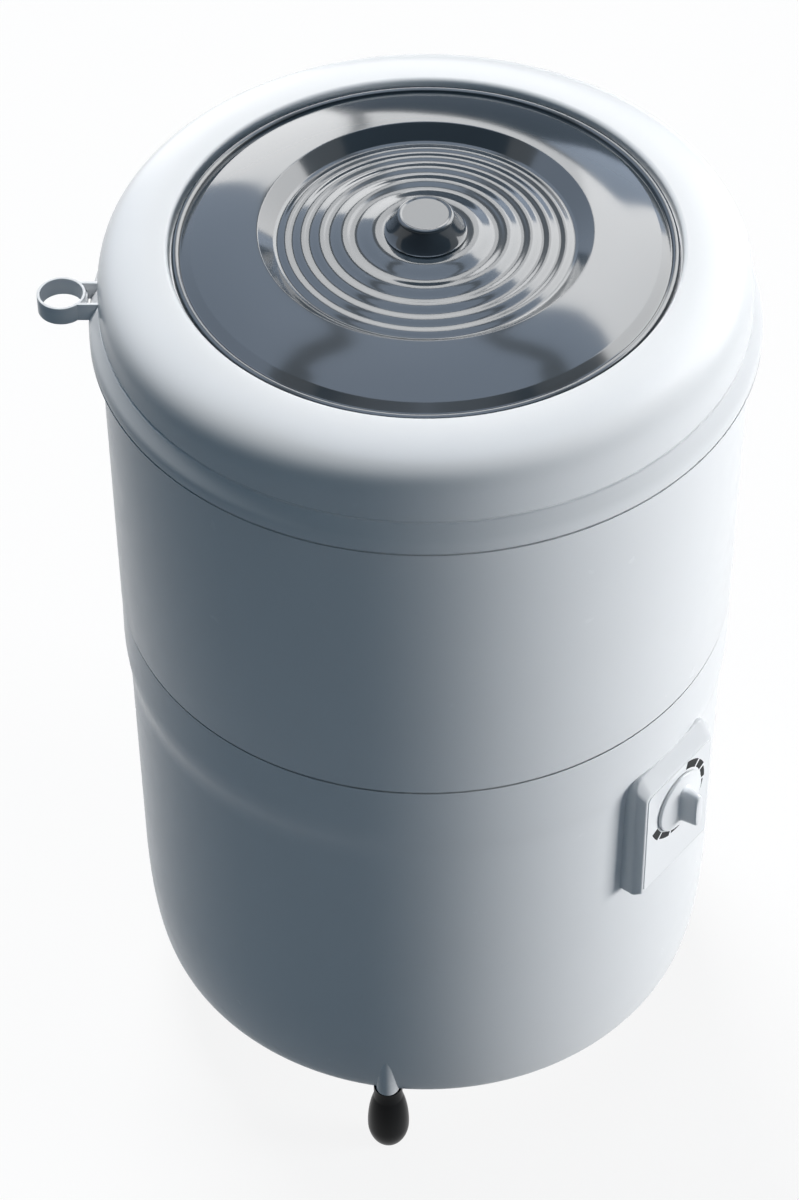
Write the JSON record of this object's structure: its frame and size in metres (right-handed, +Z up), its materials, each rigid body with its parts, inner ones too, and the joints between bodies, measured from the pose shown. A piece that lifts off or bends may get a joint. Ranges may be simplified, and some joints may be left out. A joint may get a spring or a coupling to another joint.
{
  "type": "semi-automatic washing machine",
  "caption": "Round upright tub washer with a rounded top ring, a lift-off lid with a central knob, a dial timer on a side box and egg-shaped feet.",
  "frame": {"origin": "on the floor, on the wash tub's vertical axis", "axes": "+Z up along the tub's axis, -Y out of the control panel, +Y out of the drain spigot at the rear"},
  "size_m": [0.48, 0.5204, 0.7865],
  "materials": {
    "casing": "satin",
    "panel": "satin",
    "lid": "mirror gloss",
    "tub": "satin",
    "timer": "matte",
    "pipe": "matte",
    "foot": "gloss",
    "rubber": "matte",
    "steel": "satin",
    "galvanised": "galvanised",
    "aluminium": "cast",
    "motor": "satin"
  },
  "bodies": {
    "cabinet": {"upper_casing": "casing", "lower_casing": "casing", "base_plate": "galvanised", "top_ring": "casing", "tub_gasket": "rubber", "hose_holder": "casing", "control_box": "casing", "dial_plate": "panel", "timer_case": "timer", "wash_tub": "tub", "drain_grate": "tub", "drain_pipe": "pipe", "drain_nut": "pipe", "cord_gland": "rubber", "bearing_housing": "aluminium", "upper_bearing": "steel", "lower_bearing": "steel", "shaft_seal": "rubber", "drive_belt": "rubber", "motor_plate": "galvanised", "motor_case": "motor", "capacitor": "pipe", "capacitor_clip": "galvanised", "foot_left": "foot", "foot_right": "foot", "foot_rear": "foot", "ring_screws": "steel", "foot_screws": "steel", "base_screws": "steel", "box_screws": "steel", "timer_screws": "steel", "bearing_bolts": "steel", "plate_bolts": "steel", "motor_bolts": "steel"},
    "lid": {"lid": "lid", "lid_knob": "lid", "lid_screw": "steel"},
    "pulsator": {"pulsator": "tub", "pulsator_screw": "steel", "drive_shaft": "steel", "driven_pulley": "aluminium", "shaft_nut": "steel"},
    "rotor": {"motor_shaft": "steel", "motor_pulley": "aluminium"},
    "timer": {"timer_knob": "panel", "timer_shaft": "steel"}
  },
  "joints": [
    {"name": "lid_lift", "type": "slide", "parent": "cabinet", "child": "lid", "axis": [0, 0, 1], "range_m": [0, 0.16]},
    {"name": "pulsator_spin", "type": "hinge", "parent": "cabinet", "child": "pulsator", "pos_m": [0, 0, 0.33], "axis": [0, 0, 1], "continuous": true},
    {"name": "motor_spin", "type": "hinge", "parent": "cabinet", "child": "rotor", "pos_m": [-0.10422, -0.0486, 0.27], "axis": [0, 0, 1], "continuous": true},
    {"name": "timer_turn", "type": "hinge", "parent": "cabinet", "child": "timer", "pos_m": [0, -0.24, 0.3379], "axis": [0, 1, 0], "range_deg": [0, 300]}
  ],
  "couplings": [
    {"joint": "motor_spin", "follows": "pulsator_spin", "ratio": 3}
  ]
}
